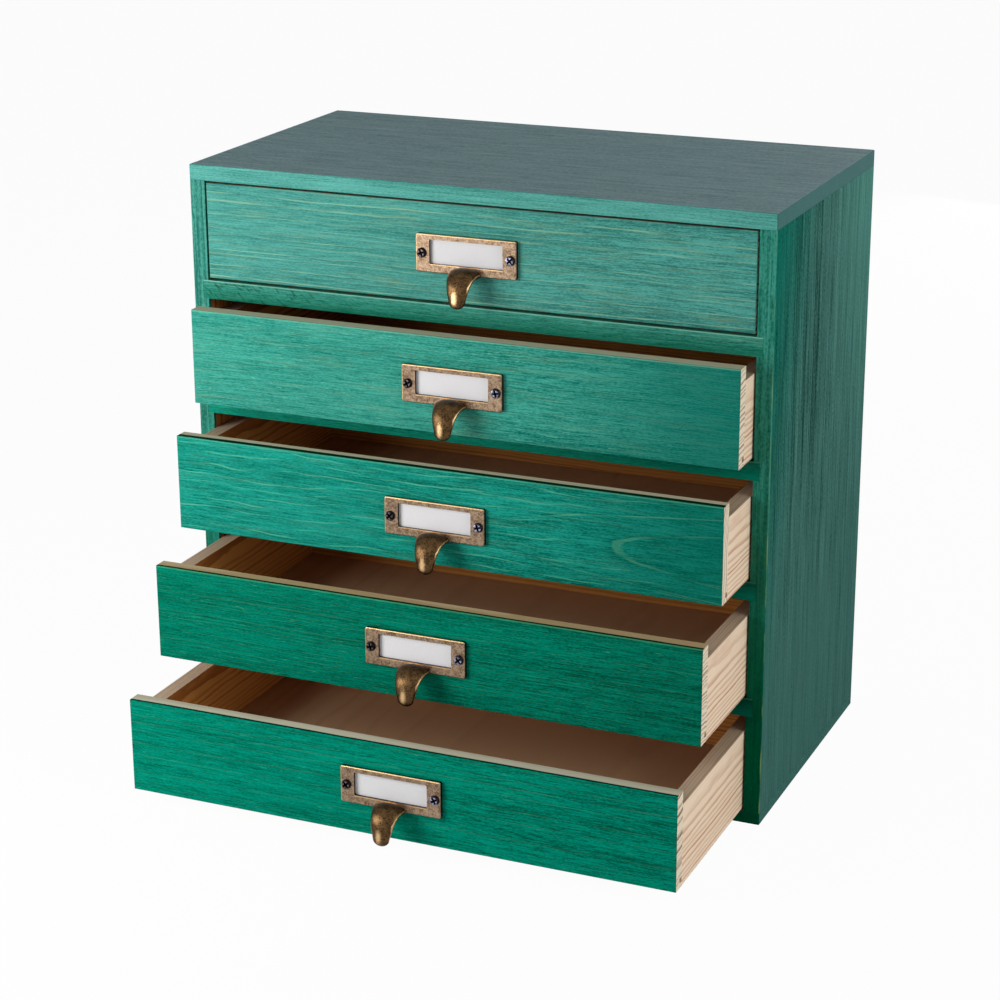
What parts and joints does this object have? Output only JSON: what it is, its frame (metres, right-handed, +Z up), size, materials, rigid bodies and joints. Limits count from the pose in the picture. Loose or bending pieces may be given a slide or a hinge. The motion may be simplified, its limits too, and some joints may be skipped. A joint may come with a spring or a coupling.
{
  "type": "craft stamp storage drawers",
  "caption": "Small wooden cabinet of shallow sliding drawers for craft stamps, each with a brass label-plate pull.",
  "frame": {"origin": "middle of the cabinet's footprint, on the surface it stands on", "axes": "+X to the right, +Y to the back, +Z up; the drawers open along -Y"},
  "size_m": [0.35, 0.3141, 0.35],
  "materials": {
    "stained_carcass": "dark green wood stain on pine, satin",
    "stained_front": "emerald wood stain on pine, satin",
    "raw_pine": "bare sanded pine",
    "drawer_ply": "bare thin plywood",
    "back_ply": "bare thin plywood",
    "dowel_wood": "bare beech",
    "antique_brass": "cast brass, browned and rubbed bright on the edges",
    "label_card": "bare white card",
    "screw_steel": "blackened steel with bare faces",
    "brad_steel": "plain steel"
  },
  "bodies": {
    "cabinet": {"top_panel": "stained_carcass", "bottom_panel": "stained_carcass", "left_side_panel": "stained_carcass", "right_side_panel": "stained_carcass", "back_panel": "back_ply", "front_rail_1": "stained_carcass", "front_rail_2": "stained_carcass", "front_rail_3": "stained_carcass", "front_rail_4": "stained_carcass", "runners_1": "raw_pine", "runners_2": "raw_pine", "runners_3": "raw_pine", "runners_4": "raw_pine", "runners_5": "raw_pine", "top_dowels": "dowel_wood", "bottom_dowels": "dowel_wood", "back_panel_brads": "brad_steel"},
    "drawer_1": {"drawer_1_front": "stained_front", "drawer_1_left_side": "raw_pine", "drawer_1_right_side": "raw_pine", "drawer_1_back": "raw_pine", "drawer_1_bottom": "drawer_ply", "drawer_1_pull": "antique_brass", "drawer_1_label_card": "label_card", "drawer_1_pull_screws": "screw_steel"},
    "drawer_2": {"drawer_2_front": "stained_front", "drawer_2_left_side": "raw_pine", "drawer_2_right_side": "raw_pine", "drawer_2_back": "raw_pine", "drawer_2_bottom": "drawer_ply", "drawer_2_pull": "antique_brass", "drawer_2_label_card": "label_card", "drawer_2_pull_screws": "screw_steel"},
    "drawer_3": {"drawer_3_front": "stained_front", "drawer_3_left_side": "raw_pine", "drawer_3_right_side": "raw_pine", "drawer_3_back": "raw_pine", "drawer_3_bottom": "drawer_ply", "drawer_3_pull": "antique_brass", "drawer_3_label_card": "label_card", "drawer_3_pull_screws": "screw_steel"},
    "drawer_4": {"drawer_4_front": "stained_front", "drawer_4_left_side": "raw_pine", "drawer_4_right_side": "raw_pine", "drawer_4_back": "raw_pine", "drawer_4_bottom": "drawer_ply", "drawer_4_pull": "antique_brass", "drawer_4_label_card": "label_card", "drawer_4_pull_screws": "screw_steel"},
    "drawer_5": {"drawer_5_front": "stained_front", "drawer_5_left_side": "raw_pine", "drawer_5_right_side": "raw_pine", "drawer_5_back": "raw_pine", "drawer_5_bottom": "drawer_ply", "drawer_5_pull": "antique_brass", "drawer_5_label_card": "label_card", "drawer_5_pull_screws": "screw_steel"}
  },
  "joints": [
    {"name": "drawer_1_slide", "type": "slide", "parent": "cabinet", "child": "drawer_1", "axis": [0, -1, 0], "range_m": [0, 0.14]},
    {"name": "drawer_2_slide", "type": "slide", "parent": "cabinet", "child": "drawer_2", "axis": [0, -1, 0], "range_m": [-0.023, 0.117]},
    {"name": "drawer_3_slide", "type": "slide", "parent": "cabinet", "child": "drawer_3", "axis": [0, -1, 0], "range_m": [-0.0454, 0.0946]},
    {"name": "drawer_4_slide", "type": "slide", "parent": "cabinet", "child": "drawer_4", "axis": [0, -1, 0], "range_m": [-0.0749, 0.0651]},
    {"name": "drawer_5_slide", "type": "slide", "parent": "cabinet", "child": "drawer_5", "axis": [0, -1, 0], "range_m": [-0.1103, 0.0297]}
  ]
}
